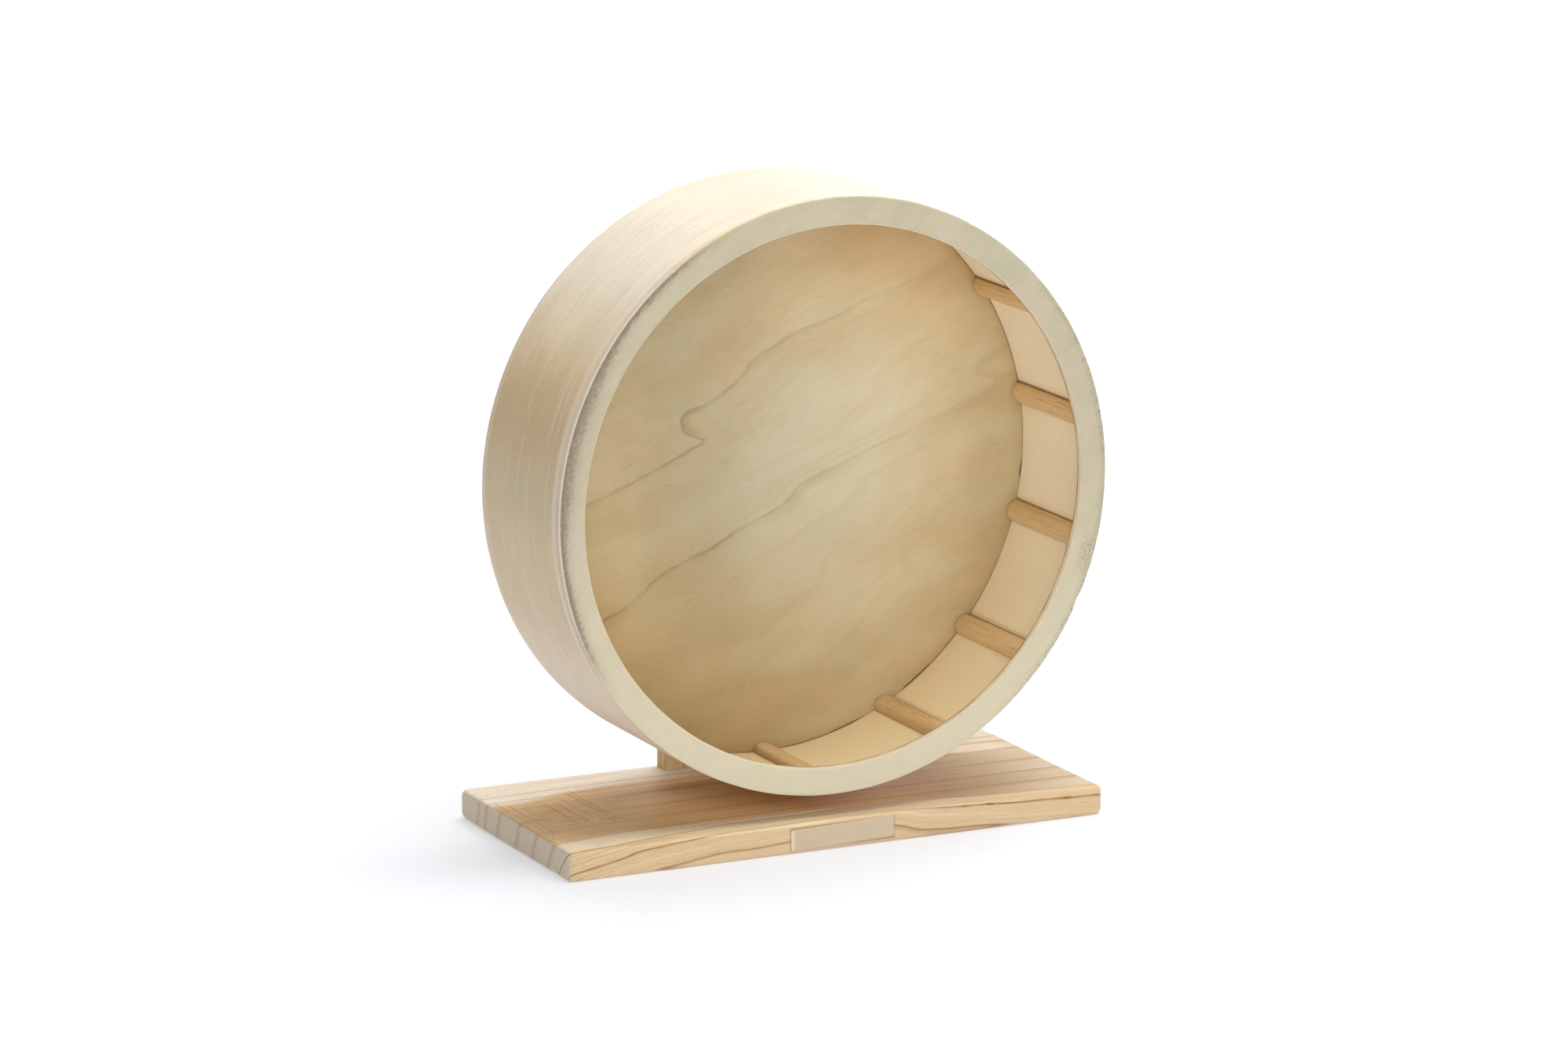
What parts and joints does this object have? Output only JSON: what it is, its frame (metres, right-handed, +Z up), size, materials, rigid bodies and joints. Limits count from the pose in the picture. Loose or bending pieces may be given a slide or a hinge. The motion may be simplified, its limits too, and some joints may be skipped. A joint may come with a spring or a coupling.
{
  "type": "rodent exercise wheel",
  "caption": "Wooden running wheel for small rodents: an open-fronted plywood drum with inner rungs, turning on ball bearings on a post fixed to a flat base board.",
  "frame": {"origin": "centre of the base board's underside", "axes": "+X along the base board to the right, +Y to the back along the wheel's axis, +Z up; the drum's mouth faces -Y"},
  "size_m": [0.3, 0.1433, 0.326],
  "materials": {
    "pine_board": "planed pine, unfinished, with saw marks",
    "pine_post": "planed pine, unfinished",
    "ring_plywood": "pale sanded plywood, torn fibres at the rims",
    "band_plywood": "thin bent plywood, sanded, streaked along the bend",
    "disc_plywood": "sanded plywood with faint flowing grain",
    "rung_wood": "cut dowel, unfinished",
    "hub_wood": "turned wood, unfinished",
    "label_card": "blank, matt",
    "zinc_steel": "zinc plated",
    "race_steel": "ground",
    "ball_steel": "polished",
    "cage_brass": "pressed",
    "shield_steel": "pressed sheet",
    "nylon": "moulded"
  },
  "bodies": {
    "stand": {"base_board": "pine_board", "support_post": "pine_post", "post_screws": "zinc_steel", "label_plate": "label_card", "axle_bolt": "zinc_steel", "spacer_sleeve": "zinc_steel", "post_washers": "zinc_steel", "lock_nut": "zinc_steel", "nut_insert": "nylon", "front_bearing_inner_race": "race_steel", "rear_bearing_inner_race": "race_steel"},
    "wheel": {"front_ring": "ring_plywood", "running_band": "band_plywood", "back_disc": "disc_plywood", "hub_block": "hub_wood", "rung_01": "rung_wood", "rung_02": "rung_wood", "rung_03": "rung_wood", "rung_04": "rung_wood", "rung_05": "rung_wood", "rung_06": "rung_wood", "rung_07": "rung_wood", "rung_08": "rung_wood", "rung_09": "rung_wood", "rung_10": "rung_wood", "rung_11": "rung_wood", "rung_12": "rung_wood", "rung_13": "rung_wood", "rung_14": "rung_wood", "rung_15": "rung_wood", "front_bearing_outer_race": "race_steel", "front_bearing_shields": "shield_steel", "rear_bearing_outer_race": "race_steel", "rear_bearing_shields": "shield_steel"},
    "front_cage": {"front_bearing_cage": "cage_brass", "front_bearing_balls": "ball_steel"},
    "rear_cage": {"rear_bearing_cage": "cage_brass", "rear_bearing_balls": "ball_steel"}
  },
  "joints": [
    {"name": "wheel_spin", "type": "hinge", "parent": "stand", "child": "wheel", "pos_m": [0, 0.04, 0.176], "axis": [0, 1, 0], "continuous": true},
    {"name": "front_cage_spin", "type": "hinge", "parent": "stand", "child": "front_cage", "pos_m": [0, 0.0365, 0.176], "axis": [0, 1, 0], "continuous": true},
    {"name": "rear_cage_spin", "type": "hinge", "parent": "stand", "child": "rear_cage", "pos_m": [0, 0.0435, 0.176], "axis": [0, 1, 0], "continuous": true}
  ],
  "couplings": [
    {"joint": "front_cage_spin", "follows": "wheel_spin", "ratio": 0.63233},
    {"joint": "rear_cage_spin", "follows": "wheel_spin", "ratio": 0.63233}
  ]
}
